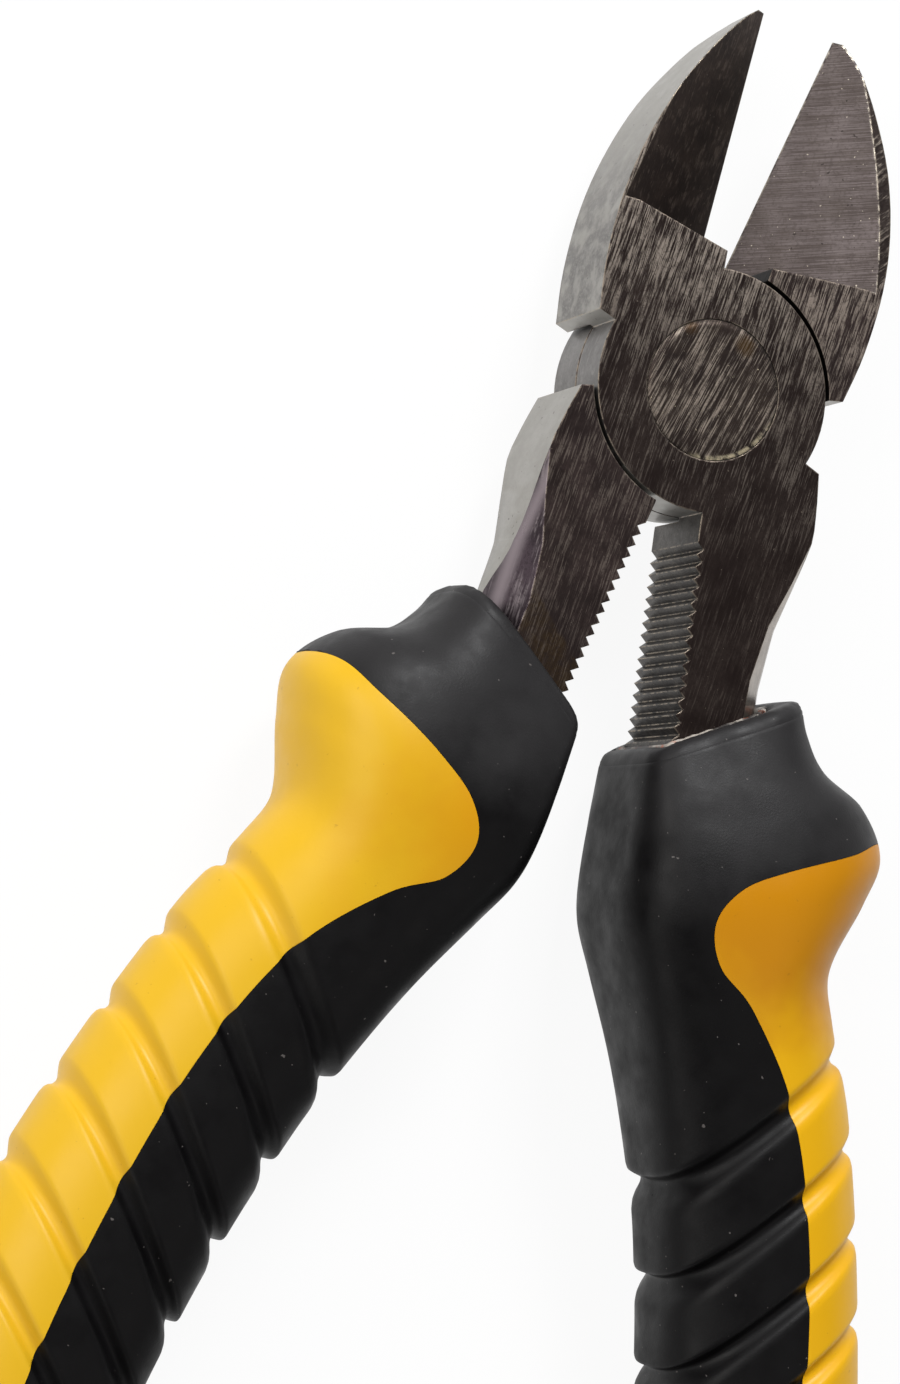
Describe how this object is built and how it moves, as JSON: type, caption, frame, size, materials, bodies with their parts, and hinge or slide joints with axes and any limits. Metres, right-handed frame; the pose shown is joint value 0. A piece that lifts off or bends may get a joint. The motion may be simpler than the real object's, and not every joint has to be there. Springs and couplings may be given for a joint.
{
  "type": "side cutters",
  "caption": "Side-cutting pliers with a lap joint on a flush rivet, bevelled jaws, crimping teeth on the necks and ribbed two-colour moulded grips.",
  "frame": {"origin": "on the pivot axis, at the ground back face of the lap joint", "axes": "+Z along the pivot axis out of the front face, +Y from the pivot towards the jaw tips midway between the jaws, +X to the right seen from the front"},
  "size_m": [0.094, 0.1785, 0.0224],
  "materials": {
    "forged_steel": "blackened forging with ground faces and satin outer walls",
    "rivet_steel": "ground flush with coarse scratches",
    "yellow_plastic": "smooth satin",
    "black_rubber": "soft satin"
  },
  "bodies": {
    "front_arm": {"front_half": "forged_steel", "right_grip_insert": "yellow_plastic", "right_grip_cover": "black_rubber", "pivot_rivet": "rivet_steel"},
    "back_arm": {"back_half": "forged_steel", "left_grip_insert": "yellow_plastic", "left_grip_cover": "black_rubber"}
  },
  "joints": [
    {"name": "pivot", "type": "hinge", "parent": "front_arm", "child": "back_arm", "pos_m": [0, 0, 0], "axis": [0, 0, -1], "range_deg": [-11.4, 31.5]}
  ]
}
